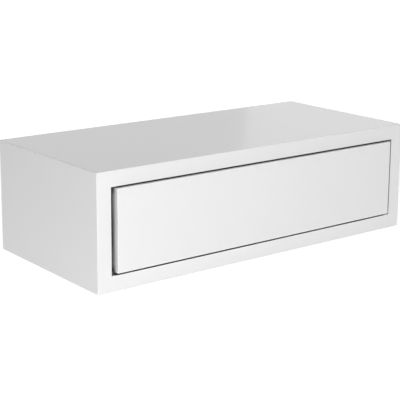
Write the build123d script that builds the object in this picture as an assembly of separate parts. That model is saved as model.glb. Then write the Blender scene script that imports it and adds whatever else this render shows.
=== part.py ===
from build123d import *
import os
from math import sqrt

# Wall shelf with one inset push-to-open drawer, in millimetres.
# The back of the shelf lies on the wall plane y = 0 and its front faces -Y, +X is to the
# viewer's right and +Z is up. The origin is midway between the seats of the two wall screws.

# Cabinet frame: four boards mitred at the corners
width = 550.0
depth = 250.0
height = 160.0
board = 21.5
frame_corner_radius = 0.8
frame_front_edge_radius = 0.6

# Back panel in its groove, and the two rails behind it that touch the wall
panel_thickness = 3.0
panel_groove_depth = 6.0
panel_edge_clearance = 0.3
groove_clearance = 0.1
rail_thickness = 16.0
bottom_rail_height = 20.0

# Wooden dowels
dowel_clearance = 0.05
dowel_end_clearance = 0.5
mitre_dowel_diameter = 6.0
mitre_dowel_cover = 2.0
mitre_dowel_inset = 40.0
mitre_dowels_in_corner = 3
rail_dowel_diameter = 8.0
rail_dowel_length = 28.0
rail_dowel_in_side = 12.0
top_rail_dowel_spacing = 34.0

# Screws: plain shanks, and holes that follow them
screw_clearance = 0.05
through_hole_clearance = 0.3
screw_point_diameter = 0.8
drive_recess_width = 0.7
drive_recess_inset = 1.2
drive_recess_floor = 0.3
screw_head_edge_radius = 0.3

# Keyhole plates, let into the upper rail, and the wall screws that they take
wall_screw_inset = 75.0
wall_screw_shank = 4.0
wall_screw_head = 8.0
keyhole_slot_play = 0.6
keyhole_entry_play = 1.0
keyhole_drop = 8.0
hanger_length = 50.0
hanger_width = 18.0
hanger_gauge = 1.5
hanger_recess = 0.2
hanger_pocket_clearance = 0.2
hanger_rail_margin = 5.0
hanger_screw_from_end = 6.0
hanger_screw_diameter = 3.0
hanger_screw_head_diameter = 5.6
hanger_screw_length = 12.0
head_pocket_width = 12.0
head_pocket_depth = 9.0
head_pocket_margin = 2.0
head_pocket_corner_radius = 3.0

# Drawer front and the shadow gap round it
front_thickness = 16.0
front_side_gap = 6.8
front_top_gap = 1.6
front_bottom_gap = 3.4
front_proud = 4.5
front_edge_radius = 0.8
front_rear_edge_radius = 0.5

# Drawer box
box_board = 12.0
box_rear_clearance = 14.0
box_top_clearance = 18.0
box_bottom_thickness = 3.0
box_bottom_raise = 8.0
box_groove_depth = 5.0
box_edge_radius = 0.8
box_dowel_diameter = 6.0
box_dowel_length = 24.0
box_dowel_in_side = 8.0
box_dowel_from_edge = 22.0
front_screw_diameter = 4.0
front_screw_length = 22.0
front_screw_head_diameter = 7.6
front_screw_from_side = 60.0
front_screw_from_edge = 22.0

# Ball-bearing slides, full extension
slide_width = 12.7
slide_height = 45.0
slide_setback = 4.0
outer_gauge = 1.2
middle_gauge = 1.0
inner_gauge = 1.2
cage_gauge = 0.5
strip_clearance = 0.2
inner_member_clearance = 0.4
outer_member_setback = 2.2
middle_member_setback = 0.6
lip_length = 2.2
bend_radius = 2.0
outer_ball_diameter = 3.8
inner_ball_diameter = 3.2
ball_clearance = 0.05
ball_web_gap = 1.0
cage_rim = 0.3
cage_length = 80.0
cage_ball_count = 6
slide_screw_diameter = 3.5
slide_screw_head_diameter = 7.0
slide_screw_head_height = 0.8
slide_screw_from_end = 30.0
outer_screw_length = 14.0
inner_screw_length = 9.0
bumper_length = 6.0
bumper_half_height = 16.0
bumper_width = 7.6
bumper_play = 1.0
bumper_edge_radius = 1.0

# Push latch on the bottom board, behind the drawer front, and how far it lets that go in
push_travel = 3.0
latch_barrel_diameter = 10.0
latch_barrel_length = 55.0
latch_barrel_wall = 1.4
latch_end_wall = 2.0
latch_top_clearance = 2.35
latch_plunger_clearance = 0.05
latch_plunger_end_play = 8.0
latch_plunger_wall = 0.85
latch_plunger_front_wall = 6.0
latch_tip_diameter = 7.2
latch_tip_length = 3.8
latch_tip_play = 0.4
latch_tip_gap = 0.6
latch_tip_edge_radius = 1.0
latch_spring_clearance = 0.3
latch_spring_wire = 0.6
latch_spring_turns = 14
holder_floor = 2.6
holder_wall = 2.0
holder_grip = 2.0
holder_setback = 6.0
holder_edge_radius = 1.0
holder_flange_reach = 10.0
holder_flange_thickness = 2.0
holder_screw_diameter = 3.0
holder_screw_head_diameter = 6.0
holder_screw_head_height = 1.4
holder_screw_length = 13.0
strike_width = 26.0
strike_margin = 0.1
strike_gauge = 1.0
strike_corner_radius = 1.5
strike_screw_spacing = 18.0
strike_screw_diameter = 2.0
strike_screw_length = 9.0
strike_screw_head_diameter = 3.6

# Heights: the wall screws seat at z = 0, near the top of the upper rail
top_rail_height = hanger_length + 2 * hanger_rail_margin
hanger_centre_z = -keyhole_drop / 2
ceiling_z = hanger_centre_z + hanger_length / 2 + hanger_rail_margin
top_z = ceiling_z + board
bottom_z = top_z - height
floor_z = bottom_z + board
middle_z = (top_z + bottom_z) / 2

# Widths
half_width = width / 2
bay_half_width = half_width - board
front_half_width = bay_half_width - front_side_gap
box_half_width = bay_half_width - slide_width
box_inner_half = box_half_width - box_board

# Depths, from the front backwards
cabinet_front_y = -depth
front_face_y = cabinet_front_y - front_proud
front_rear_y = front_face_y + front_thickness
inner_front_rear_y = front_rear_y + box_board
panel_rear_y = -rail_thickness
panel_front_y = panel_rear_y - panel_thickness
box_rear_y = panel_front_y - box_rear_clearance
box_back_front_y = box_rear_y - box_board

# Push latch: its axis lies just above the bottom board, below the drawer box
latch_radius = latch_barrel_diameter / 2
latch_bore_radius = latch_radius - latch_barrel_wall
latch_plunger_radius = latch_bore_radius - latch_plunger_clearance
latch_plunger_length = latch_barrel_length - latch_end_wall - latch_plunger_end_play
holder_seat_radius = latch_radius + dowel_clearance
latch_z = floor_z + holder_floor + holder_seat_radius
strike_face_y = front_rear_y + strike_gauge
tip_front_y = strike_face_y + push_travel + latch_tip_play
plunger_front_y = tip_front_y + latch_tip_length
barrel_front_y = plunger_front_y + latch_tip_gap
barrel_rear_y = barrel_front_y + latch_barrel_length
barrel_floor_y = barrel_rear_y - latch_end_wall
plunger_rear_y = barrel_front_y + latch_plunger_length
spring_pocket_radius = latch_plunger_radius - latch_plunger_wall
spring_front_y = barrel_front_y + latch_plunger_front_wall
holder_front_y = barrel_front_y + holder_setback
holder_rear_y = barrel_rear_y + holder_wall
holder_half_width = holder_seat_radius + holder_wall
holder_flange_top = floor_z + holder_flange_thickness

# Drawer box heights
front_bottom_z = floor_z + front_bottom_gap
front_top_z = ceiling_z - front_top_gap
box_bottom_z = latch_z + latch_radius + latch_top_clearance
box_top_z = ceiling_z - box_top_clearance
box_panel_z = box_bottom_z + box_bottom_raise

# Slides: distances are measured from the side board's inner face towards the drawer
slide_z = (box_bottom_z + box_top_z) / 2
slide_front_y = front_rear_y + slide_setback
slide_rear_y = box_rear_y
moving_rear_y = slide_rear_y - bumper_length - push_travel - bumper_play
outer_race = slide_height / 2 - outer_gauge
outer_ball_level = outer_race - ball_clearance - outer_ball_diameter / 2
middle_half_height = outer_race - 2 * ball_clearance - outer_ball_diameter
middle_race = middle_half_height - middle_gauge
inner_ball_level = middle_race - ball_clearance - inner_ball_diameter / 2
inner_half_height = middle_race - 2 * ball_clearance - inner_ball_diameter
outer_cage_start = outer_gauge + slide_screw_head_height + strip_clearance
middle_member_start = outer_cage_start + cage_gauge + strip_clearance
inner_cage_start = middle_member_start + middle_gauge + strip_clearance
inner_member_start = inner_cage_start + cage_gauge + inner_member_clearance
outer_member_end = slide_width - outer_member_setback
middle_member_end = slide_width - inner_gauge - middle_member_setback
inner_web = slide_width - inner_gauge
outer_ball_row = outer_cage_start + cage_gauge + ball_web_gap + outer_ball_diameter / 2
inner_ball_row = inner_cage_start + cage_gauge + ball_web_gap + inner_ball_diameter / 2
cage_front_y = (slide_front_y + moving_rear_y - cage_length) / 2
ball_pitch = cage_length / cage_ball_count

# Keyholes
keyhole_slot_radius = (wall_screw_shank + keyhole_slot_play) / 2
keyhole_entry_radius = (wall_screw_head + keyhole_entry_play) / 2
hanger_screw_span = hanger_length / 2 - hanger_screw_from_end
hanger_back_y = -hanger_recess - hanger_gauge
hanger_screw_levels = [hanger_centre_z - hanger_screw_span, hanger_centre_z + hanger_screw_span]


# Shapes that the pieces are drawn with


def block(x, y, z):
    """A box between the low and high limits given for each axis."""
    size = Box(x[1] - x[0], y[1] - y[0], z[1] - z[0])
    return Pos((x[0] + x[1]) / 2, (y[0] + y[1]) / 2, (z[0] + z[1]) / 2) * size


def rod(start, end, radius):
    """A round bar from one point to another."""
    start = Vector(*start)
    run = Vector(*end) - start
    upright = Cylinder(radius, run.length, align=(Align.CENTER, Align.CENTER, Align.MIN))
    return Plane(origin=start, z_dir=run) * upright


def along_y(profile, y_low, y_high):
    """A profile drawn in X and Z, extruded between two depths."""
    plane = Plane(origin=(0, y_high, 0), x_dir=(1, 0, 0), z_dir=(0, -1, 0))
    return extrude(plane * profile, amount=y_high - y_low)


def rectangle(x, z, radius=0.0):
    """A flat rectangle between limits, with rounded corners where a radius is given."""
    size = (x[1] - x[0], z[1] - z[0])
    shape = RectangleRounded(*size, radius) if radius else Rectangle(*size)
    return Pos((x[0] + x[1]) / 2, (z[0] + z[1]) / 2) * shape


def cut(piece, cutters):
    """The piece without each of the cutters, which are taken away one by one."""
    for cutter in cutters:
        piece = piece - cutter
    return piece


def placed(shape, point, direction):
    """A shape drawn about +Z from the origin, moved to a point and turned to a direction."""
    return Plane(origin=point, z_dir=direction) * shape


def all_placed(shapes, points, direction):
    """Every shape at every point."""
    return [placed(shape, point, direction) for point in points for shape in shapes]


def drive_recess(head_diameter, recess_depth):
    """A cross-shaped driver recess, sunk from z = 0 into -Z."""
    arm = head_diameter - 2 * drive_recess_inset
    bars = Box(arm, drive_recess_width, recess_depth) + Box(drive_recess_width, arm, recess_depth)
    return Pos(0, 0, -recess_depth / 2) * bars


def shank(diameter, top, length):
    """A plain shank from z = top down to a pointed end at z = -length."""
    body_length = length + top - diameter
    body = Pos(0, 0, top - body_length / 2) * Cylinder(diameter / 2, body_length)
    point = Cone(screw_point_diameter / 2, diameter / 2, diameter)
    return body + Pos(0, 0, -length + diameter / 2) * point


def flat_head_screw(diameter, length, head_diameter, head_height):
    """A screw with a low cylindrical head, its head seat at the origin, pointing to -Z."""
    head = Pos(0, 0, head_height / 2) * Cylinder(head_diameter / 2, head_height)
    head = fillet(head.edges().group_by(Axis.Z)[-1], screw_head_edge_radius)
    recess = drive_recess(head_diameter, head_height - drive_recess_floor)
    return head + shank(diameter, 0, length) - Pos(0, 0, head_height) * recess


def sunk_head_screw(diameter, length, head_diameter):
    """A countersunk screw, its flat top at the origin, pointing to -Z."""
    cone_height = (head_diameter - diameter) / 2
    cone = Pos(0, 0, -cone_height / 2) * Cone(diameter / 2, head_diameter / 2, cone_height)
    recess = drive_recess(head_diameter, cone_height - drive_recess_floor)
    return cone + shank(diameter, -cone_height, length) - recess


def pilot_hole(diameter, length):
    """The hole that a screw's shank takes, from the origin to -Z."""
    run = length + dowel_end_clearance
    return Pos(0, 0, -run / 2) * Cylinder(diameter / 2 + screw_clearance, run)


def sink_hole(diameter, head_diameter):
    """The countersink for a sunk head, a shade wider than the head."""
    cone_height = (head_diameter - diameter) / 2 + screw_clearance
    low_radius = diameter / 2 + screw_clearance
    return Pos(0, 0, -cone_height / 2) * Cone(low_radius, low_radius + cone_height, cone_height)


def mirrored(shape):
    """The same piece on the left side."""
    return mirror(shape, about=Plane.YZ)


def both_sides(pieces):
    """The right side's pieces and their mirror images."""
    return [*pieces, *[mirrored(piece) for piece in pieces]]


# Frame, dowels, back panel and rails


def frame_ring():
    """The four boards as one ring with rounded outer edges and the back panel's groove."""
    outer = rectangle((-half_width, half_width), (bottom_z, top_z), frame_corner_radius)
    bay = rectangle((-bay_half_width, bay_half_width), (floor_z, ceiling_z))
    ring = along_y(outer - bay, cabinet_front_y, 0)
    front_edges = ring.faces().sort_by(Axis.Y)[0].edges()
    ring = fillet(front_edges, frame_front_edge_radius)
    groove_half = bay_half_width + panel_groove_depth
    groove = block(
        (-groove_half, groove_half),
        (panel_front_y - groove_clearance, panel_rear_y + groove_clearance),
        (floor_z - panel_groove_depth, ceiling_z + panel_groove_depth),
    )
    return ring - groove


def mitre_wedge(corners):
    """The wedge of space that one board fills, between the two mitre planes."""
    return along_y(make_face(Polyline(*corners, close=True)), cabinet_front_y - board, board)


def board_wedges():
    """Each board's name and its wedge."""
    out = half_width + board
    high = top_z + board
    low = bottom_z - board
    bay = bay_half_width
    return {
        "top_board": mitre_wedge([(-out, high), (out, high), (bay, ceiling_z), (-bay, ceiling_z)]),
        "bottom_board": mitre_wedge([(-out, low), (out, low), (bay, floor_z), (-bay, floor_z)]),
        "left_side": mitre_wedge([(-out, high), (-bay, ceiling_z), (-bay, floor_z), (-out, low)]),
        "right_side": mitre_wedge([(out, high), (bay, ceiling_z), (bay, floor_z), (out, low)]),
    }


def mitre_dowels(clearance=0.0, end_clearance=0.0):
    """Dowels square to the mitre faces, evenly spaced along each corner of the frame."""
    radius = mitre_dowel_diameter / 2
    half_length = board / sqrt(2) - radius - mitre_dowel_cover - dowel_end_clearance
    reach = (half_length + end_clearance) / sqrt(2)
    spacing = (depth - 2 * mitre_dowel_inset) / (mitre_dowels_in_corner - 1)
    dowels = []
    for side in (-1, 1):
        for level in (-1, 1):
            x = side * (half_width - board / 2)
            z = middle_z + level * (height - board) / 2
            for index in range(mitre_dowels_in_corner):
                y = cabinet_front_y + mitre_dowel_inset + index * spacing
                start = (x - side * reach, y, z + level * reach)
                end = (x + side * reach, y, z - level * reach)
                dowels.append(rod(start, end, radius + clearance))
    return dowels


def rail_dowels(clearance=0.0, end_clearance=0.0):
    """Dowels that hold the ends of the rear rails in the side boards."""
    top_rail_z = ceiling_z - top_rail_height / 2
    levels = [top_rail_z - top_rail_dowel_spacing / 2, top_rail_z + top_rail_dowel_spacing / 2]
    levels.append(floor_z + bottom_rail_height / 2)
    outer_x = bay_half_width + rail_dowel_in_side
    inner_x = outer_x - rail_dowel_length
    y = -rail_thickness / 2
    dowels = []
    for z in levels:
        start = (outer_x + end_clearance, y, z)
        end = (inner_x - end_clearance, y, z)
        dowels.append(rod(start, end, rail_dowel_diameter / 2 + clearance))
    return both_sides(dowels)


def back_panel():
    """Thin panel held in the groove of all four boards."""
    edge = panel_groove_depth - panel_edge_clearance
    half = bay_half_width + edge
    return block((-half, half), (panel_front_y, panel_rear_y), (floor_z - edge, ceiling_z + edge))


def rear_rail(z_low, z_high):
    """A rail between the side boards, its back on the wall plane."""
    return block((-bay_half_width, bay_half_width), (-rail_thickness, 0), (z_low, z_high))


# Keyhole plates


def keyhole_x(side):
    """The x of a keyhole: -1 is the left one, 1 the right one."""
    return side * (half_width - wall_screw_inset)


def hanger_screw_seats(side):
    """Where a keyhole plate's own two screws enter it."""
    return [(keyhole_x(side), -hanger_recess, z) for z in hanger_screw_levels]


def hanger_plate(side):
    """Steel plate with a keyhole: the head enters low, the shank then seats at z = 0."""
    x = keyhole_x(side)
    outline = Pos(x, hanger_centre_z) * SlotOverall(hanger_length, hanger_width, rotation=90)
    slot = rectangle((x - keyhole_slot_radius, x + keyhole_slot_radius), (-keyhole_drop, 0))
    keyhole = slot + Pos(x, 0) * Circle(keyhole_slot_radius)
    keyhole = keyhole + Pos(x, -keyhole_drop) * Circle(keyhole_entry_radius)
    plate = along_y(outline - keyhole, hanger_back_y, -hanger_recess)
    sink = sink_hole(hanger_screw_diameter, hanger_screw_head_diameter)
    pilot = pilot_hole(hanger_screw_diameter, hanger_screw_length)
    return cut(plate, all_placed([sink, pilot], hanger_screw_seats(side), (0, 1, 0)))


def hanger_cutters(side):
    """Pocket for the plate, the deeper pocket for the wall screw's head, and pilot holes."""
    x = keyhole_x(side)
    grow = 2 * hanger_pocket_clearance
    outline = SlotOverall(hanger_length + grow, hanger_width + grow, rotation=90)
    pocket = along_y(Pos(x, hanger_centre_z) * outline, hanger_back_y, board)
    half = head_pocket_width / 2
    low = -keyhole_drop - keyhole_entry_radius - head_pocket_margin
    high = wall_screw_head / 2 + head_pocket_margin
    deep_outline = rectangle((x - half, x + half), (low, high), head_pocket_corner_radius)
    deep = along_y(deep_outline, hanger_back_y - head_pocket_depth, hanger_back_y)
    pilot = pilot_hole(hanger_screw_diameter, hanger_screw_length)
    return [pocket, deep, *all_placed([pilot], hanger_screw_seats(side), (0, 1, 0))]


def hanger_screws():
    """Two countersunk screws in each keyhole plate."""
    screw = sunk_head_screw(
        hanger_screw_diameter, hanger_screw_length, hanger_screw_head_diameter
    )
    seats = [seat for side in (-1, 1) for seat in hanger_screw_seats(side)]
    return all_placed([screw], seats, (0, 1, 0))


# Slides: drawn at the right side of the bay


def from_side(distance):
    """The x of a point at a distance from the right side board's inner face."""
    return bay_half_width - distance


def channel(start, end, half_height, gauge, opens_inwards, y_high):
    """A rolled steel channel with lips, open to the drawer or to the cabinet side."""
    x = (from_side(end), from_side(start))
    z = (slide_z - half_height, slide_z + half_height)
    inner_x = (x[0] + gauge, x[1] - gauge)
    inner_z = (z[0] + gauge, z[1] - gauge)
    outside = rectangle(x, z, bend_radius)
    inside = rectangle(inner_x, inner_z, bend_radius - gauge)
    mouth_x = (x[0] - gauge, inner_x[0] + gauge)
    if not opens_inwards:
        mouth_x = (inner_x[1] - gauge, x[1] + gauge)
    mouth = rectangle(mouth_x, (inner_z[0] + lip_length, inner_z[1] - lip_length))
    return along_y(outside - inside - mouth, slide_front_y, y_high)


def slide_screw_depths():
    """The y of the screws in every slide member."""
    return [slide_front_y + slide_screw_from_end, moving_rear_y - slide_screw_from_end]


def web_holes(web_start, gauge, radius):
    """Holes through the web of a slide member, one for each of its screws."""
    holes = []
    for y in slide_screw_depths():
        start = (from_side(web_start - gauge), y, slide_z)
        end = (from_side(web_start + 2 * gauge), y, slide_z)
        holes.append(rod(start, end, radius))
    return holes


def outer_member():
    """Cabinet member, screwed flat to the side board."""
    half = slide_height / 2
    member = channel(0, outer_member_end, half, outer_gauge, True, slide_rear_y)
    hole_radius = slide_screw_diameter / 2 + through_hole_clearance
    return cut(member, web_holes(0, outer_gauge, hole_radius))


def middle_member():
    """Intermediate member, with access holes over the cabinet member's screws."""
    start = middle_member_start
    end = middle_member_end
    member = channel(start, end, middle_half_height, middle_gauge, True, moving_rear_y)
    access_radius = slide_screw_head_diameter / 2 + through_hole_clearance
    return cut(member, web_holes(start, middle_gauge, access_radius))


def inner_member():
    """Drawer member, screwed flat to the side of the drawer box."""
    start = inner_member_start
    member = channel(start, slide_width, inner_half_height, inner_gauge, False, moving_rear_y)
    hole_radius = slide_screw_diameter / 2 + through_hole_clearance
    return cut(member, web_holes(inner_web, inner_gauge, hole_radius))


def ball_places(row, level):
    """Centres of the balls in one cage, an upper and a lower row."""
    places = []
    for index in range(cage_ball_count):
        y = cage_front_y + (index + 0.5) * ball_pitch
        for side in (-1, 1):
            places.append((from_side(row), y, slide_z + side * level))
    return places


def cage(start, row, level, ball_diameter):
    """A bent strip that keeps the balls of two races apart."""
    end = row + ball_diameter / 2 + cage_rim
    x = (from_side(end), from_side(start))
    half = level + cage_gauge / 2
    inner_half = half - cage_gauge
    outside = rectangle(x, (slide_z - half, slide_z + half))
    inside_x = (x[0] - cage_gauge, x[1] - cage_gauge)
    inside = rectangle(inside_x, (slide_z - inner_half, slide_z + inner_half))
    strip = along_y(outside - inside, cage_front_y, cage_front_y + cage_length)
    hole = Cylinder(ball_diameter / 2 + ball_clearance, 4 * cage_gauge)
    return cut(strip, [Pos(*place) * hole for place in ball_places(row, level)])


def balls(diameter, row, level):
    """The balls of one cage."""
    return [Pos(*place) * Sphere(diameter / 2) for place in ball_places(row, level)]


def slide_bumper():
    """Soft stop at the back of the cabinet member, behind the two moving members."""
    stop = block(
        (from_side(outer_gauge + bumper_width), from_side(outer_gauge)),
        (slide_rear_y - bumper_length, slide_rear_y),
        (slide_z - bumper_half_height, slide_z + bumper_half_height),
    )
    return fillet(stop.edges().filter_by(Axis.Y), bumper_edge_radius)


def member_screw_seats(web_face):
    """Where the screws' heads sit on the web of a slide member."""
    return [(from_side(web_face), y, slide_z) for y in slide_screw_depths()]


def member_screws(web_face, length, direction):
    """The screws of the right cabinet or drawer member."""
    screw = flat_head_screw(
        slide_screw_diameter, length, slide_screw_head_diameter, slide_screw_head_height
    )
    return all_placed([screw], member_screw_seats(web_face), direction)


def member_screw_holes(web_face, length, direction):
    """Pilot holes for the same screws."""
    pilot = pilot_hole(slide_screw_diameter, length)
    return all_placed([pilot], member_screw_seats(web_face), direction)


# Drawer front and drawer box


def drawer_front():
    """Handle-less inset front, softly rounded round its face."""
    front = block(
        (-front_half_width, front_half_width),
        (front_face_y, front_rear_y),
        (front_bottom_z, front_top_z),
    )
    front = fillet(front.faces().sort_by(Axis.Y)[0].edges(), front_edge_radius)
    return fillet(front.faces().sort_by(Axis.Y)[-1].edges(), front_rear_edge_radius)


def box_side():
    """The right side of the drawer box, its upper edges eased."""
    piece = block(
        (box_inner_half, box_half_width), (front_rear_y, box_rear_y), (box_bottom_z, box_top_z)
    )
    top_edges = piece.faces().sort_by(Axis.Z)[-1].edges().filter_by(Axis.Y)
    return fillet(top_edges, box_edge_radius)


def box_end(y_low, y_high):
    """The inner front or the back of the drawer box, held between the sides."""
    piece = block((-box_inner_half, box_inner_half), (y_low, y_high), (box_bottom_z, box_top_z))
    top_edges = piece.faces().sort_by(Axis.Z)[-1].edges().filter_by(Axis.X)
    return fillet(top_edges, box_edge_radius)


def box_bottom(edge_clearance, thickness_clearance):
    """The drawer's bottom panel, or with other clearances the volume of its groove."""
    reach = box_groove_depth - edge_clearance
    low = box_panel_z - thickness_clearance
    high = box_panel_z + box_bottom_thickness + thickness_clearance
    return block(
        (-box_inner_half - reach, box_inner_half + reach),
        (inner_front_rear_y - reach, box_back_front_y + reach),
        (low, high),
    )


def box_dowels(clearance=0.0, end_clearance=0.0):
    """Dowels from the box sides into the ends of its inner front and back."""
    outer_x = box_inner_half + box_dowel_in_side
    inner_x = outer_x - box_dowel_length
    radius = box_dowel_diameter / 2 + clearance
    dowels = []
    for y in (front_rear_y + box_board / 2, box_rear_y - box_board / 2):
        for z in (box_bottom_z + box_dowel_from_edge, box_top_z - box_dowel_from_edge):
            start = (outer_x + end_clearance, y, z)
            dowels.append(rod(start, (inner_x - end_clearance, y, z), radius))
    return both_sides(dowels)


def front_screw_seats():
    """Where the four screws enter the inner front, on the drawer's inside."""
    seats = []
    for side in (-1, 1):
        x = side * (box_inner_half - front_screw_from_side)
        for z in (box_bottom_z + front_screw_from_edge, box_top_z - front_screw_from_edge):
            seats.append((x, inner_front_rear_y, z))
    return seats


def front_screws():
    """Countersunk screws that pull the drawer front against the box."""
    screw = sunk_head_screw(front_screw_diameter, front_screw_length, front_screw_head_diameter)
    return all_placed([screw], front_screw_seats(), (0, 1, 0))


def front_screw_holes():
    """Their pilot holes and countersinks."""
    pilot = pilot_hole(front_screw_diameter, front_screw_length)
    sink = sink_hole(front_screw_diameter, front_screw_head_diameter)
    return all_placed([pilot, sink], front_screw_seats(), (0, 1, 0))


# Push latch


def on_latch_axis(y):
    """A point of the latch's axis."""
    return (0, y, latch_z)


def latch_barrel():
    """Tube with a closed back end that guides the plunger."""
    barrel = rod(on_latch_axis(barrel_front_y), on_latch_axis(barrel_rear_y), latch_radius)
    bore_start = on_latch_axis(barrel_front_y - latch_end_wall)
    return barrel - rod(bore_start, on_latch_axis(barrel_floor_y), latch_bore_radius)


def latch_plunger():
    """Plunger, hollow from the back for the spring, its front a little out of the barrel."""
    start = on_latch_axis(plunger_front_y)
    plunger = rod(start, on_latch_axis(plunger_rear_y), latch_plunger_radius)
    pocket_end = on_latch_axis(plunger_rear_y + latch_end_wall)
    return plunger - rod(on_latch_axis(spring_front_y), pocket_end, spring_pocket_radius)


def latch_tip():
    """Soft cap on the front of the plunger, clear of the barrel when it is pushed in."""
    tip = rod(on_latch_axis(tip_front_y), on_latch_axis(plunger_front_y), latch_tip_diameter / 2)
    return fillet(tip.edges().group_by(Axis.Y)[0], latch_tip_edge_radius)


def latch_spring():
    """Coil spring between the barrel's back wall and the bottom of the plunger's pocket."""
    coil_radius = spring_pocket_radius - latch_spring_clearance - latch_spring_wire / 2
    start = spring_front_y + latch_spring_clearance + latch_spring_wire / 2
    end = barrel_floor_y - latch_spring_clearance - latch_spring_wire / 2
    pitch = (end - start) / latch_spring_turns
    coil = Helix(pitch=pitch, height=end - start, radius=coil_radius)
    section = Plane(origin=coil @ 0, z_dir=coil % 0) * Circle(latch_spring_wire / 2)
    spring = sweep(section, path=coil, is_frenet=True)
    return placed(spring, on_latch_axis(start), (0, 1, 0))


def holder_screw_seats():
    """Where the holder's screws sit, in the middle of its two flanges."""
    x = holder_half_width + holder_flange_reach / 2
    y = (holder_front_y + holder_rear_y) / 2
    return [(side * x, y, holder_flange_top) for side in (-1, 1)]


def latch_holder():
    """Cradle that carries the barrel on the bottom board, with a wall behind it."""
    half = holder_half_width
    top = latch_z + holder_grip
    cradle = block((-half, half), (holder_front_y, holder_rear_y), (floor_z, top))
    cradle = fillet(cradle.edges().filter_by(Axis.Y).group_by(Axis.Z)[-1], holder_edge_radius)
    seat_start = on_latch_axis(holder_front_y - holder_wall)
    cradle = cradle - rod(seat_start, on_latch_axis(barrel_rear_y), holder_seat_radius)
    flange_y = (holder_front_y + holder_setback, holder_rear_y - holder_setback)
    flange_x = (half, half + holder_flange_reach)
    flange = block(flange_x, flange_y, (floor_z, holder_flange_top))
    hole = pilot_hole(holder_screw_diameter + through_hole_clearance, holder_flange_thickness)
    holder = cradle + flange + mirrored(flange)
    return cut(holder, all_placed([hole], holder_screw_seats(), (0, 0, 1)))


def latch_screws():
    """The two screws that hold the latch's holder."""
    screw = flat_head_screw(
        holder_screw_diameter,
        holder_screw_length,
        holder_screw_head_diameter,
        holder_screw_head_height,
    )
    return all_placed([screw], holder_screw_seats(), (0, 0, 1))


def latch_screw_holes():
    """Pilot holes for those screws."""
    pilot = pilot_hole(holder_screw_diameter, holder_screw_length)
    return all_placed([pilot], holder_screw_seats(), (0, 0, 1))


def strike_screw_seats():
    """Where the strike plate's screws enter it."""
    return [(side * strike_screw_spacing / 2, strike_face_y, latch_z) for side in (-1, 1)]


def strike_plate():
    """Small steel plate on the back of the drawer front, where the plunger pushes."""
    half = strike_width / 2
    half_height = latch_tip_diameter / 2 + strike_margin
    z = (latch_z - half_height, latch_z + half_height)
    outline = rectangle((-half, half), z, strike_corner_radius)
    plate = along_y(outline, front_rear_y, strike_face_y)
    sink = sink_hole(strike_screw_diameter, strike_screw_head_diameter)
    pilot = pilot_hole(strike_screw_diameter, strike_screw_length)
    return cut(plate, all_placed([sink, pilot], strike_screw_seats(), (0, 1, 0)))


def strike_screws():
    """The strike plate's countersunk screws."""
    screw = sunk_head_screw(strike_screw_diameter, strike_screw_length, strike_screw_head_diameter)
    return all_placed([screw], strike_screw_seats(), (0, 1, 0))


def strike_screw_holes():
    """Pilot holes for those screws."""
    pilot = pilot_hole(strike_screw_diameter, strike_screw_length)
    return all_placed([pilot], strike_screw_seats(), (0, 1, 0))


# Assembly: each node's name with its solid or solids


def cabinet_nodes():
    """The boards, rails and back panel, with every hole that they take."""
    ring = frame_ring()
    mitre_holes = mitre_dowels(dowel_clearance, dowel_end_clearance)
    rail_holes = rail_dowels(dowel_clearance, dowel_end_clearance)
    slide_holes = both_sides(member_screw_holes(outer_gauge, outer_screw_length, (-1, 0, 0)))
    top_rail = rear_rail(ceiling_z - top_rail_height, ceiling_z)
    bottom_rail = rear_rail(floor_z, floor_z + bottom_rail_height)
    boards = {name: cut(ring & wedge, mitre_holes) for name, wedge in board_wedges().items()}
    return {
        "top_board": boards["top_board"],
        "bottom_board": cut(boards["bottom_board"], latch_screw_holes()),
        "left_side": cut(boards["left_side"], rail_holes + slide_holes),
        "right_side": cut(boards["right_side"], rail_holes + slide_holes),
        "rear_top_rail": cut(top_rail, rail_holes + hanger_cutters(-1) + hanger_cutters(1)),
        "rear_bottom_rail": cut(bottom_rail, rail_holes),
        "back_panel": back_panel(),
        "mitre_dowels": mitre_dowels(),
        "rail_dowels": rail_dowels(),
        "left_hanger_plate": hanger_plate(-1),
        "right_hanger_plate": hanger_plate(1),
        "hanger_screws": hanger_screws(),
    }


def slide_nodes():
    """Both slides, piece by piece, the left one as the mirror of the right."""
    single = {
        "outer_member": [outer_member()],
        "middle_member": [middle_member()],
        "inner_member": [inner_member()],
        "outer_cage": [
            cage(outer_cage_start, outer_ball_row, outer_ball_level, outer_ball_diameter)
        ],
        "inner_cage": [
            cage(inner_cage_start, inner_ball_row, inner_ball_level, inner_ball_diameter)
        ],
        "outer_balls": balls(outer_ball_diameter, outer_ball_row, outer_ball_level),
        "inner_balls": balls(inner_ball_diameter, inner_ball_row, inner_ball_level),
    }
    nodes = {}
    for name, pieces in single.items():
        nodes["right_" + name] = pieces
        nodes["left_" + name] = [mirrored(piece) for piece in pieces]
    outer_screws = member_screws(outer_gauge, outer_screw_length, (-1, 0, 0))
    inner_screws = member_screws(inner_web, inner_screw_length, (1, 0, 0))
    nodes["outer_member_screws"] = both_sides(outer_screws)
    nodes["inner_member_screws"] = both_sides(inner_screws)
    nodes["slide_bumpers"] = both_sides([slide_bumper()])
    return nodes


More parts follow.
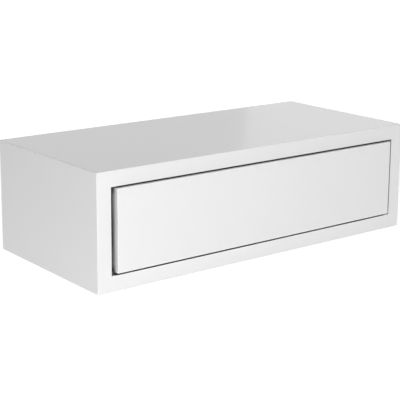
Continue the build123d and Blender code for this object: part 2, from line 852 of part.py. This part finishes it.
def drawer_nodes():
    """The drawer front and the box behind it."""
    groove = box_bottom(0, groove_clearance)
    dowel_holes = box_dowels(dowel_clearance, dowel_end_clearance)
    front_holes = front_screw_holes()
    member_holes = member_screw_holes(inner_web, inner_screw_length, (1, 0, 0))
    right_side = cut(box_side(), [groove, *dowel_holes, *member_holes])
    inner_front = box_end(front_rear_y, inner_front_rear_y)
    back = box_end(box_back_front_y, box_rear_y)
    return {
        "drawer_front": cut(drawer_front(), front_holes + strike_screw_holes()),
        "drawer_right_side": right_side,
        "drawer_left_side": mirrored(right_side),
        "drawer_inner_front": cut(inner_front, [groove, *dowel_holes, *front_holes]),
        "drawer_back": cut(back, [groove, *dowel_holes]),
        "drawer_bottom": box_bottom(panel_edge_clearance, 0),
        "drawer_dowels": box_dowels(),
        "drawer_front_screws": front_screws(),
        "strike_plate": strike_plate(),
        "strike_screws": strike_screws(),
    }


def latch_nodes():
    """The push latch and its screws."""
    return {
        "latch_holder": latch_holder(),
        "latch_barrel": latch_barrel(),
        "latch_plunger": latch_plunger(),
        "latch_tip": latch_tip(),
        "latch_spring": latch_spring(),
        "latch_screws": latch_screws(),
    }


def main():
    os.makedirs("parts", exist_ok=True)
    nodes = {**cabinet_nodes(), **slide_nodes(), **drawer_nodes(), **latch_nodes()}
    for name, shape in nodes.items():
        pieces = shape if isinstance(shape, list) else [shape]
        solids = [solid for piece in pieces for solid in piece.solids()]
        export_step(Compound(children=solids), "parts/" + name + ".step")


main()
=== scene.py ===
import math

import bmesh
import bpy
from bpy.props import FloatProperty, FloatVectorProperty, PointerProperty
from mathutils import Euler, Matrix, Vector


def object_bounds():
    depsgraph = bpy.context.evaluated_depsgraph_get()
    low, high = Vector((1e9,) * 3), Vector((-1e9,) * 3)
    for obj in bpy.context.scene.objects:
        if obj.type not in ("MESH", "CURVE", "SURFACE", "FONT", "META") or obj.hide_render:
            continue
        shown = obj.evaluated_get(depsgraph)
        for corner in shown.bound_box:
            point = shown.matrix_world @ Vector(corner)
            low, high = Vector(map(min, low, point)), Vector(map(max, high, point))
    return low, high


# White wall shelf with a handle-less drawer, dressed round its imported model, in metres:
# the wall is at y = 0, the front faces -Y, +X is to the viewer's right and +Z is up.

bl_info = {
    "name": "Wall Shelf With Drawer",
    "version": (1, 0, 0),
    "blender": (4, 5, 0),
    "location": "3D View > Sidebar > Wall Shelf",
    "description": "Dresses a white wall shelf and its drawer, and sets its stage",
    "category": "Object",
}

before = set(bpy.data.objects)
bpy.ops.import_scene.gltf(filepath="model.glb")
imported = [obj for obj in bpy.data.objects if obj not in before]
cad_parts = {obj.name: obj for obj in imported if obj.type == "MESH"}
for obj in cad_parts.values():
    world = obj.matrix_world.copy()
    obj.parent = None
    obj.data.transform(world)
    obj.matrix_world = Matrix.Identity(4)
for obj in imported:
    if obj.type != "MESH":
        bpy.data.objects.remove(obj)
cad_low, cad_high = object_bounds()

# The lacquer's colour is painted darker, as painted shade, where other surfaces close it in. It
# starts within the reach, and the other two are the open shares of the view at which it is
# darkest, and at which it is white.
PAINTED_SHADE_REACH = 0.012
PAINTED_SHADE_CLOSED = 0.15
PAINTED_SHADE_OPEN = 0.68
PAINTED_SHADE_SAMPLES = 16

# A face is a bare lower edge where its normal's Z is under this.
FACES_DOWN = -0.5

# Second tones, as shares of the first: darker in moulded grain, paler in rubber's bloom.
GRAIN_SHARE = 0.93
BLOOM_SHARE = 1.6

# The floor, and how brightly it shows, where 1 is white.
FLOOR_SIZE = 60.0
FLOOR_GLOW = 0.95

# The camera, as fitted to the photograph: metres, degrees, and a share of the frame.
CAMERA_PLACE = (-1.0365, -1.4408, 0.382)
CAMERA_DOWN = 12.69
CAMERA_RIGHT = 37.8
CAMERA_ROLL = 0.41
CAMERA_SHIFT = -0.10


def linear(hex_colour):
    """The linear values of an sRGB hex colour."""
    shares = [int(hex_colour[i : i + 2], 16) / 255 for i in (0, 2, 4)]
    return [s / 12.92 if s <= 0.04045 else ((s + 0.055) / 1.055) ** 2.4 for s in shares]


def colour_property(name, description, hex_colour):
    """A colour that a user can change."""
    return FloatVectorProperty(
        name=name,
        description=description,
        subtype="COLOR",
        size=3,
        min=0.0,
        max=1.0,
        default=linear(hex_colour),
    )


def length_property(name, description, metres):
    """A length that a user can change."""
    return FloatProperty(
        name=name, description=description, subtype="DISTANCE", unit="LENGTH", default=metres
    )


def power_property(name, description, watts):
    """A lamp's power that a user can change."""
    return FloatProperty(name=name, description=description, unit="POWER", default=watts)


# Sizes and colours that a user would change


class ShelfColours(bpy.types.PropertyGroup):
    """The colours of the shelf's finishes"""

    lacquer: colour_property("Lacquer", "High-gloss lacquer of the boards and front", "F1F1F1")
    lacquer_cloud: colour_property("Lacquer cloud", "The lacquer's faint second tone", "EEEEEE")
    # The near-black painted shade that the lacquer is mixed towards in narrow joints.
    painted_joint_shade: colour_property("Joint shade", "What the lacquer darkens to in joints", "1B1A1A")
    melamine: colour_property("Melamine", "Facing of the drawer box and the rails", "E9E8E5")
    melamine_fleck: colour_property("Melamine fleck", "Fine flecks in that facing", "E2E1DD")
    chip_light: colour_property("Light chips", "Wood chips on an edge with no facing", "C9A877")
    chip_dark: colour_property("Dark chips", "Darker chips and the glue between them", "8A683F")
    hardboard: colour_property("Hardboard", "Painted face of the thin panels", "E6E5E1")
    hardboard_fibre: colour_property("Fibres", "Fibres that show through that paint", "DCDAD4")
    beech: colour_property("Beech", "Pale wood of the dowels", "D9B68A")
    beech_ray: colour_property("Beech rays", "Darker flecks in that wood", "B98D5F")
    zinc: colour_property("Zinc", "Bright zinc plating on rolled steel", "C6C9CC")
    zinc_tarnish: colour_property("Zinc tarnish", "Where the plating has dulled", "A9ADB0")
    strip: colour_property("Cage strip", "Thin strip of the ball cages", "A8AAAB")
    ball: colour_property("Balls", "Polished bearing steel", "D4D5D6")
    screw: colour_property("Screws", "Plated screws", "C2C4C4")
    wire: colour_property("Spring wire", "Drawn spring wire", "96989A")
    white_plastic: colour_property("White plastic", "Moulded holder of the latch", "E5E4E1")
    grey_plastic: colour_property("Grey plastic", "Moulded barrel and plunger", "9FA2A4")
    rubber: colour_property("Rubber", "Soft tip and soft stops", "2B2B2C")
    floor: colour_property("Floor", "Plain pale floor", "F4F4F4")


class ShelfStage(bpy.types.PropertyGroup):
    """Where the camera stands, and how bright the lamps are"""

    lens: FloatProperty(
        name="Lens",
        description="Focal length of the camera on a 36 mm sensor",
        subtype="DISTANCE_CAMERA",
        default=105.2,
    )
    floor_depth: length_property("Floor depth", "How far the floor is below the shelf", 2.5)
    front_power: power_property("Front lamp", "Softbox ahead of the shelf and above it", 26.0)
    near_power: power_property("Near lamp", "Small softbox ahead, to the left", 5.2)
    wide_power: power_property("Wide lamp", "Large softbox further out on the left", 13.0)
    low_power: power_property("Low lamp", "Softbox ahead, low on the left", 4.0)
    under_power: power_property("Lamp below", "Softbox below the left end", 10.5)
    right_power: power_property("Right lamp", "Softbox low on the right", 11.5)
    sheen_power: power_property("Sheen lamp", "Dim softbox that the top mirrors", 1.4)
    back_power: power_property("Back lamp", "Softbox straight behind", 15.0)
    surroundings: FloatProperty(
        name="Surroundings",
        description="Brightness of the surroundings as light on the shelf",
        default=0.15,
        min=0.0,
        max=2.0,
    )


# Nodes and materials


def add_node(tree, kind, links=None, sockets=None, **settings):
    """Adds a node with its own settings, its sockets' values and its links."""
    made = tree.nodes.new("ShaderNode" + kind)
    for name, value in settings.items():
        setattr(made, name, value)
    for name, value in (sockets or {}).items():
        made.inputs[name].default_value = value
    for name, source in (links or {}).items():
        tree.links.new(source, made.inputs[name])
    return made


def start_material(name):
    """A new material's node tree, its surface shader and the coordinates that it is drawn on."""
    material = bpy.data.materials.new(name)
    material.use_nodes = True
    tree = material.node_tree
    tree.nodes.clear()
    shader = add_node(tree, "BsdfPrincipled")
    add_node(tree, "OutputMaterial", links={"Surface": shader.outputs["BSDF"]})
    place = add_node(tree, "TexCoord").outputs["Object"]
    return material, tree, shader, place


def per_metre(spacing_mm):
    """The texture scale that repeats a pattern at a spacing in millimetres."""
    return 1000.0 / spacing_mm


def opaque(colour):
    """A colour property's value with full alpha."""
    return (*colour, 1.0)


def mixed_tone(tree, share, first, second):
    """A colour between two tones, mixed by a share."""
    tone = add_node(
        tree,
        "Mix",
        links={0: share},
        sockets={6: opaque(first), 7: opaque(second)},
        data_type="RGBA",
    )
    return tone.outputs[2]


def two_tones(tree, shader, share, first, second):
    """Colours a shader with two tones, mixed by a share."""
    tree.links.new(mixed_tone(tree, share, first, second), shader.inputs["Base Color"])


def raised(tree, shader, height, depth_mm):
    """Gives a shader's surface a relief of that depth."""
    bump = add_node(
        tree,
        "Bump",
        links={"Height": height},
        sockets={"Strength": 1.0, "Distance": depth_mm / 1000.0},
    )
    tree.links.new(bump.outputs["Normal"], shader.inputs["Normal"])


def gloss_between(tree, shader, share, low, high):
    """Lets a shader's roughness wander between two values."""
    spread = add_node(
        tree, "MapRange", links={"Value": share}, sockets={"To Min": low, "To Max": high}
    )
    tree.links.new(spread.outputs["Result"], shader.inputs["Roughness"])


def lacquered_mdf(colours):
    """Medium-density fibreboard, sprayed with white polyurethane lacquer and polished.

    The eye sees an even neutral white with a mirror sheen over it. Faint orange peel, drawn at
    6 mm where the real one is about 2 mm, and a slow drift in tone keep it from looking printed.
    The narrow joints round the drawer front read as dark lines. The lamps alone leave them too
    pale, so the lacquer's colour is mixed towards a near-black painted shade where other surfaces
    close it in, found by ambient occlusion. That is painted shade, not a finish that the real
    lacquer has.
    """
    material, tree, shader, place = start_material("high_gloss_lacquered_mdf")
    peel = add_node(
        tree, "TexNoise", links={"Vector": place}, sockets={"Scale": per_metre(6.0), "Detail": 1.0}
    )
    drift = add_node(
        tree, "TexNoise", links={"Vector": place}, sockets={"Scale": per_metre(180.0)}
    )
    white = mixed_tone(tree, drift.outputs["Fac"], colours.lacquer, colours.lacquer_cloud)
    openness = add_node(
        tree, "AmbientOcclusion", sockets={"Distance": PAINTED_SHADE_REACH}, samples=PAINTED_SHADE_SAMPLES
    )
    reach = add_node(
        tree,
        "MapRange",
        links={"Value": openness.outputs["AO"]},
        sockets={"From Min": PAINTED_SHADE_CLOSED, "From Max": PAINTED_SHADE_OPEN},
        interpolation_type="SMOOTHSTEP",
    )
    # Painted shade: the white is mixed towards near-black where the occlusion finds other surfaces
    # close.
    surface = add_node(
        tree,
        "Mix",
        links={0: reach.outputs["Result"], 7: white},
        sockets={6: opaque(colours.painted_joint_shade)},
        data_type="RGBA",
    )
    tree.links.new(surface.outputs[2], shader.inputs["Base Color"])
    gloss_between(tree, shader, drift.outputs["Fac"], 0.16, 0.24)
    raised(tree, shader, peel.outputs["Fac"], 0.02)
    shader.inputs["IOR"].default_value = 1.5
    shader.inputs["Coat Weight"].default_value = 0.35
    shader.inputs["Coat Roughness"].default_value = 0.04
    return material


def melamine_chipboard(colours):
    """Chipboard faced with white melamine paper, its lower edges cut and left bare.

    The eye sees a dry, slightly pearled white, and tan chips where a cut edge faces down. The
    pearl is drawn at 1.5 mm, about three times the real one, so that it shows.
    """
    material, tree, shader, place = start_material("melamine_faced_chipboard")
    pearl = add_node(
        tree, "TexNoise", links={"Vector": place}, sockets={"Scale": per_metre(1.5), "Detail": 3.0}
    )
    chips = add_node(
        tree,
        "TexVoronoi",
        links={"Vector": place},
        sockets={"Scale": per_metre(2.2), "Randomness": 1.0},
    )
    facing = mixed_tone(tree, pearl.outputs["Fac"], colours.melamine, colours.melamine_fleck)
    bare = mixed_tone(tree, chips.outputs["Distance"], colours.chip_light, colours.chip_dark)
    normal = add_node(
        tree,
        "SeparateXYZ",
        links={"Vector": add_node(tree, "NewGeometry").outputs["True Normal"]},
    )
    faces_down = add_node(
        tree,
        "Math",
        links={0: normal.outputs["Z"]},
        sockets={1: FACES_DOWN},
        operation="LESS_THAN",
    )
    surface = add_node(
        tree,
        "Mix",
        links={0: faces_down.outputs["Value"], 6: facing, 7: bare},
        data_type="RGBA",
    )
    tree.links.new(surface.outputs[2], shader.inputs["Base Color"])
    gloss_between(tree, shader, pearl.outputs["Fac"], 0.38, 0.52)
    raised(tree, shader, pearl.outputs["Fac"], 0.03)
    shader.inputs["IOR"].default_value = 1.5
    return material


def painted_hardboard(colours):
    """Thin hardboard, painted white on both faces.

    The eye sees a flat white that is less even than the melamine: pale fibres, a few mm long,
    show through the paint.
    """
    material, tree, shader, place = start_material("white_painted_hardboard")
    fibres = add_node(
        tree,
        "TexNoise",
        links={"Vector": place},
        sockets={"Scale": per_metre(4.0), "Detail": 6.0, "Roughness": 0.7, "Distortion": 1.2},
    )
    two_tones(tree, shader, fibres.outputs["Fac"], colours.hardboard, colours.hardboard_fibre)
    gloss_between(tree, shader, fibres.outputs["Fac"], 0.42, 0.6)
    raised(tree, shader, fibres.outputs["Fac"], 0.05)
    shader.inputs["IOR"].default_value = 1.48
    return material


def beech_wood(colours):
    """Turned beech of the dowels.

    The eye sees pinkish tan wood with short dark rays along the grain, which runs along X.
    """
    material, tree, shader, place = start_material("turned_beech")
    along = add_node(
        tree, "Mapping", links={"Vector": place}, sockets={"Scale": (0.08, 1.0, 1.0)}
    )
    rays = add_node(
        tree,
        "TexNoise",
        links={"Vector": along.outputs["Vector"]},
        sockets={"Scale": per_metre(0.9), "Detail": 4.0, "Roughness": 0.6},
    )
    two_tones(tree, shader, rays.outputs["Fac"], colours.beech, colours.beech_ray)
    gloss_between(tree, shader, rays.outputs["Fac"], 0.55, 0.75)
    raised(tree, shader, rays.outputs["Fac"], 0.05)
    shader.inputs["IOR"].default_value = 1.45
    return material


def zinc_plated_steel(colours, name, stretch, bright, low, high):
    """Rolled steel with a thin bright zinc plating.

    The eye sees a cool grey metal with fine streaks along the rolling direction and slow, dull
    patches. The streaks are drawn 0.6 mm apart, where the real ones are finer.
    """
    material, tree, shader, place = start_material(name)
    rolled = add_node(tree, "Mapping", links={"Vector": place}, sockets={"Scale": stretch})
    streaks = add_node(
        tree,
        "TexNoise",
        links={"Vector": rolled.outputs["Vector"]},
        sockets={"Scale": per_metre(0.6), "Detail": 2.0},
    )
    patches = add_node(
        tree, "TexNoise", links={"Vector": place}, sockets={"Scale": per_metre(14.0)}
    )
    two_tones(tree, shader, patches.outputs["Fac"], bright, colours.zinc_tarnish)
    gloss_between(tree, shader, streaks.outputs["Fac"], low, high)
    raised(tree, shader, streaks.outputs["Fac"], 0.01)
    shader.inputs["Metallic"].default_value = 1.0
    return material


def polished_bearing_steel(colours):
    """Hardened chromium steel, ground and polished.

    The eye sees near-mirror balls with a light film of grease that softens parts of them.
    """
    material, tree, shader, place = start_material("polished_bearing_steel")
    film = add_node(
        tree, "TexNoise", links={"Vector": place}, sockets={"Scale": per_metre(2.0), "Detail": 2.0}
    )
    two_tones(tree, shader, film.outputs["Fac"], colours.ball, colours.zinc)
    gloss_between(tree, shader, film.outputs["Fac"], 0.04, 0.16)
    shader.inputs["Metallic"].default_value = 1.0
    return material


def moulded_plastic(name, colour, low, high):
    """Injection-moulded plastic from a spark-eroded mould.

    The eye sees an even colour with a fine matt grain, drawn at 0.8 mm so that it shows.
    """
    material, tree, shader, place = start_material(name)
    grain = add_node(
        tree, "TexNoise", links={"Vector": place}, sockets={"Scale": per_metre(0.8), "Detail": 2.0}
    )
    darker = [GRAIN_SHARE * share for share in colour]
    two_tones(tree, shader, grain.outputs["Fac"], colour, darker)
    gloss_between(tree, shader, grain.outputs["Fac"], low, high)
    raised(tree, shader, grain.outputs["Fac"], 0.02)
    shader.inputs["IOR"].default_value = 1.47
    return material


def nitrile_rubber(colours):
    """Pressed nitrile rubber.

    The eye sees a dull near-black with a dusty bloom in patches.
    """
    material, tree, shader, place = start_material("pressed_nitrile_rubber")
    bloom = add_node(
        tree, "TexNoise", links={"Vector": place}, sockets={"Scale": per_metre(3.0), "Detail": 4.0}
    )
    paler = [BLOOM_SHARE * share for share in colours.rubber]
    two_tones(tree, shader, bloom.outputs["Fac"], colours.rubber, paler)
    gloss_between(tree, shader, bloom.outputs["Fac"], 0.68, 0.85)
    raised(tree, shader, bloom.outputs["Fac"], 0.03)
    shader.inputs["IOR"].default_value = 1.52
    return material


def dress(material, *names):
    """Gives CAD nodes their material."""
    for name in names:
        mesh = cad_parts[name].data
        mesh.materials.clear()
        mesh.materials.append(material)


# Pieces and the stage, one operator each


class SHELF_OT_lacquered_boards(bpy.types.Operator):
    """Finishes the four mitred boards and the drawer front in high-gloss lacquer"""

    bl_idname = "shelf.lacquered_boards"
    bl_label = "Lacquered boards"

    def execute(self, context):
        lacquer = lacquered_mdf(context.scene.shelf_colours)
        dress(lacquer, "top_board", "bottom_board", "left_side", "right_side", "drawer_front")
        return {"FINISHED"}


class SHELF_OT_drawer_box(bpy.types.Operator):
    """Finishes the drawer box's boards and the two rear rails in melamine"""

    bl_idname = "shelf.drawer_box"
    bl_label = "Drawer box and rails"

    def execute(self, context):
        melamine = melamine_chipboard(context.scene.shelf_colours)
        dress(melamine, "drawer_left_side", "drawer_right_side", "drawer_inner_front")
        dress(melamine, "drawer_back", "rear_top_rail", "rear_bottom_rail")
        return {"FINISHED"}


class SHELF_OT_thin_panels(bpy.types.Operator):
    """Finishes the back panel and the drawer's bottom as painted hardboard"""

    bl_idname = "shelf.thin_panels"
    bl_label = "Thin panels"

    def execute(self, context):
        dress(painted_hardboard(context.scene.shelf_colours), "back_panel", "drawer_bottom")
        return {"FINISHED"}


class SHELF_OT_dowels(bpy.types.Operator):
    """Finishes the wooden dowels in beech"""

    bl_idname = "shelf.dowels"
    bl_label = "Dowels"

    def execute(self, context):
        beech = beech_wood(context.scene.shelf_colours)
        dress(beech, "mitre_dowels", "rail_dowels", "drawer_dowels")
        return {"FINISHED"}


class SHELF_OT_steel_plates(bpy.types.Operator):
    """Finishes the keyhole plates and the latch's strike plate in zinc-plated steel"""

    bl_idname = "shelf.steel_plates"
    bl_label = "Steel plates"

    def execute(self, context):
        colours = context.scene.shelf_colours
        upright = zinc_plated_steel(
            colours, "zinc_plated_plate", (1.0, 1.0, 0.04), colours.zinc, 0.24, 0.4
        )
        dress(upright, "left_hanger_plate", "right_hanger_plate", "strike_plate")
        return {"FINISHED"}


class SHELF_OT_slide_members(bpy.types.Operator):
    """Finishes the three rolled members of each slide in zinc-plated steel"""

    bl_idname = "shelf.slide_members"
    bl_label = "Slide members"

    def execute(self, context):
        colours = context.scene.shelf_colours
        rolled = zinc_plated_steel(
            colours, "zinc_plated_rolled_channel", (1.0, 0.04, 1.0), colours.zinc, 0.22, 0.38
        )
        for side in ("left_", "right_"):
            dress(rolled, side + "outer_member", side + "middle_member", side + "inner_member")
        return {"FINISHED"}


class SHELF_OT_ball_cages(bpy.types.Operator):
    """Finishes the ball cages in thin strip and their balls in polished steel"""

    bl_idname = "shelf.ball_cages"
    bl_label = "Ball cages and balls"

    def execute(self, context):
        colours = context.scene.shelf_colours
        strip = zinc_plated_steel(
            colours, "zinc_plated_cage_strip", (1.0, 0.06, 1.0), colours.strip, 0.3, 0.45
        )
        polished = polished_bearing_steel(colours)
        for side in ("left_", "right_"):
            dress(strip, side + "outer_cage", side + "inner_cage")
            dress(polished, side + "outer_balls", side + "inner_balls")
        return {"FINISHED"}


class SHELF_OT_screws(bpy.types.Operator):
    """Finishes every screw in plated steel"""

    bl_idname = "shelf.screws"
    bl_label = "Screws"

    def execute(self, context):
        colours = context.scene.shelf_colours
        plated = zinc_plated_steel(
            colours, "zinc_plated_screw_steel", (1.0, 1.0, 1.0), colours.screw, 0.2, 0.36
        )
        dress(plated, "hanger_screws", "outer_member_screws", "inner_member_screws")
        dress(plated, "drawer_front_screws", "latch_screws", "strike_screws")
        return {"FINISHED"}


class SHELF_OT_push_latch(bpy.types.Operator):
    """Finishes the push latch: moulded holder, barrel and plunger, and the wire spring"""

    bl_idname = "shelf.push_latch"
    bl_label = "Push latch"

    def execute(self, context):
        colours = context.scene.shelf_colours
        white = moulded_plastic("moulded_white_abs", colours.white_plastic, 0.4, 0.55)
        dress(white, "latch_holder")
        grey = moulded_plastic("moulded_grey_acetal", colours.grey_plastic, 0.3, 0.45)
        dress(grey, "latch_barrel", "latch_plunger")
        wire = zinc_plated_steel(
            colours, "drawn_spring_wire", (1.0, 1.0, 1.0), colours.wire, 0.18, 0.3
        )
        dress(wire, "latch_spring")
        return {"FINISHED"}


class SHELF_OT_soft_stops(bpy.types.Operator):
    """Finishes the latch's soft tip and the slides' soft stops in rubber"""

    bl_idname = "shelf.soft_stops"
    bl_label = "Soft stops"

    def execute(self, context):
        dress(nitrile_rubber(context.scene.shelf_colours), "latch_tip", "slide_bumpers")
        return {"FINISHED"}


def white_where_seen(tree):
    """Share 1 where a ray comes from the camera, a gloss or a glass, and 0 elsewhere."""
    rays = add_node(tree, "LightPath")
    seen = add_node(
        tree,
        "Math",
        links={0: rays.outputs["Is Camera Ray"], 1: rays.outputs["Is Glossy Ray"]},
        operation="MAXIMUM",
    )
    seen = add_node(
        tree,
        "Math",
        links={0: seen.outputs["Value"], 1: rays.outputs["Is Transmission Ray"]},
        operation="MAXIMUM",
    )
    return seen.outputs["Value"]


def floor_paint(colours):
    """Plain pale studio floor, which glows a little to the camera so that it stays near white."""
    material = bpy.data.materials.new("pale_studio_floor")
    material.use_nodes = True
    tree = material.node_tree
    tree.nodes.clear()
    matt = add_node(tree, "BsdfDiffuse", sockets={"Color": opaque(colours.floor)})
    glow = add_node(
        tree,
        "Emission",
        links={"Strength": white_where_seen(tree)},
        sockets={"Color": opaque([FLOOR_GLOW] * 3)},
    )
    both = add_node(
        tree, "AddShader", links={0: matt.outputs["BSDF"], 1: glow.outputs["Emission"]}
    )
    add_node(tree, "OutputMaterial", links={"Surface": both.outputs["Shader"]})
    return material


def add_softbox(name, place, target, width, height, power):
    """A soft rectangular lamp that points at a target and doesn't show itself."""
    lamp = bpy.data.lights.new(name, "AREA")
    lamp.shape = "RECTANGLE"
    lamp.size = width
    lamp.size_y = height
    lamp.energy = power
    holder = bpy.data.objects.new(name, lamp)
    bpy.context.scene.collection.objects.link(holder)
    holder.location = place
    holder.rotation_euler = (Vector(target) - Vector(place)).to_track_quat("-Z", "Y").to_euler()
    holder.visible_camera = False


class SHELF_OT_stage(bpy.types.Operator):
    """Sets the pale floor, the soft lamps, the white surroundings and the camera"""

    bl_idname = "shelf.stage"
    bl_label = "Stage"

    def execute(self, context):
        scene = context.scene
        stage = scene.shelf_stage
        middle = (cad_low + cad_high) / 2
        self.add_floor(scene, cad_low.z - stage.floor_depth)
        lamps = (
            ("front_softbox", (-0.3, -2.4, 1.6), 1.2, 1.2, stage.front_power),
            ("near_softbox", (-0.9, -1.3, 0.0), 0.8, 0.8, stage.near_power),
            ("wide_softbox", (-1.6, -2.2, 0.1), 1.5, 1.5, stage.wide_power),
            ("low_softbox", (-1.1, -1.3, -0.9), 0.9, 0.9, stage.low_power),
            ("under_softbox", (-0.8, -0.3, -1.3), 1.0, 1.0, stage.under_power),
            ("right_softbox", (1.9, -0.4, -0.6), 1.3, 1.3, stage.right_power),
            ("sheen_softbox", (2.2, 1.4, 0.9), 1.4, 1.4, stage.sheen_power),
            ("back_softbox", (0.0, 2.4, 0.3), 1.6, 1.2, stage.back_power),
        )
        for name, place, across, high, power in lamps:
            add_softbox(name, place, middle, across, high, power)
        self.add_surroundings(scene, stage.surroundings)
        self.add_camera(scene, stage)
        scene.view_settings.view_transform = "Standard"
        return {"FINISHED"}

    def add_floor(self, scene, level):
        """A wide plain floor far below the shelf."""
        shape = bmesh.new()
        bmesh.ops.create_grid(shape, x_segments=1, y_segments=1, size=FLOOR_SIZE)
        bmesh.ops.translate(shape, vec=(0.0, 0.0, level), verts=shape.verts)
        mesh = bpy.data.meshes.new("floor")
        shape.to_mesh(mesh)
        shape.free()
        mesh.materials.append(floor_paint(scene.shelf_colours))
        floor = bpy.data.objects.new("floor", mesh)
        scene.collection.objects.link(floor)

    def add_surroundings(self, scene, strength):
        """Even surroundings: white where they are seen, and dimmer as light on the shelf."""
        world = bpy.data.worlds.new("surroundings")
        world.use_nodes = True
        tree = world.node_tree
        tree.nodes.clear()
        level = add_node(
            tree,
            "MapRange",
            links={"Value": white_where_seen(tree)},
            sockets={"To Min": strength, "To Max": 1.0},
        )
        sky = add_node(
            tree,
            "Background",
            links={"Strength": level.outputs["Result"]},
            sockets={"Color": (1.0, 1.0, 1.0, 1.0)},
        )
        add_node(tree, "OutputWorld", links={"Surface": sky.outputs["Background"]})
        scene.world = world

    def add_camera(self, scene, stage):
        """The camera at the photograph's place: ahead of the shelf, to its left and above it."""
        lens = bpy.data.cameras.new("camera")
        lens.lens = stage.lens
        lens.shift_y = CAMERA_SHIFT
        camera = bpy.data.objects.new("camera", lens)
        scene.collection.objects.link(camera)
        pitch, yaw = math.radians(90.0 - CAMERA_DOWN), math.radians(-CAMERA_RIGHT)
        roll = Matrix.Rotation(math.radians(CAMERA_ROLL), 3, "Z")
        aim = Euler((pitch, 0.0, yaw)).to_matrix() @ roll
        camera.matrix_world = Matrix.Translation(CAMERA_PLACE) @ aim.to_4x4()
        scene.camera = camera


class SHELF_PT_wall_shelf(bpy.types.Panel):
    """The shelf's pieces, colours and stage"""

    bl_idname = "SHELF_PT_wall_shelf"
    bl_label = "Wall Shelf"
    bl_space_type = "VIEW_3D"
    bl_region_type = "UI"
    bl_category = "Wall Shelf"

    def draw(self, context):
        for group in (context.scene.shelf_colours, context.scene.shelf_stage):
            box = self.layout.box()
            for name in group.__annotations__:
                box.prop(group, name)
        for operator in OPERATORS:
            self.layout.operator(operator.bl_idname)


OPERATORS = (
    SHELF_OT_lacquered_boards,
    SHELF_OT_drawer_box,
    SHELF_OT_thin_panels,
    SHELF_OT_dowels,
    SHELF_OT_steel_plates,
    SHELF_OT_slide_members,
    SHELF_OT_ball_cages,
    SHELF_OT_screws,
    SHELF_OT_push_latch,
    SHELF_OT_soft_stops,
    SHELF_OT_stage,
)
CLASSES = (ShelfColours, ShelfStage, *OPERATORS, SHELF_PT_wall_shelf)


def register():
    """Adds the classes and the scene's two groups of settings."""
    for cls in CLASSES:
        bpy.utils.register_class(cls)
    bpy.types.Scene.shelf_colours = PointerProperty(type=ShelfColours)
    bpy.types.Scene.shelf_stage = PointerProperty(type=ShelfStage)


def unregister():
    """Takes them away again."""
    del bpy.types.Scene.shelf_stage
    del bpy.types.Scene.shelf_colours
    for cls in reversed(CLASSES):
        bpy.utils.unregister_class(cls)


def main():
    """Makes everything in order."""
    register()
    bpy.ops.shelf.lacquered_boards()
    bpy.ops.shelf.drawer_box()
    bpy.ops.shelf.thin_panels()
    bpy.ops.shelf.dowels()
    bpy.ops.shelf.steel_plates()
    bpy.ops.shelf.slide_members()
    bpy.ops.shelf.ball_cages()
    bpy.ops.shelf.screws()
    bpy.ops.shelf.push_latch()
    bpy.ops.shelf.soft_stops()
    bpy.ops.shelf.stage()


if __name__ == "__main__":
    main()
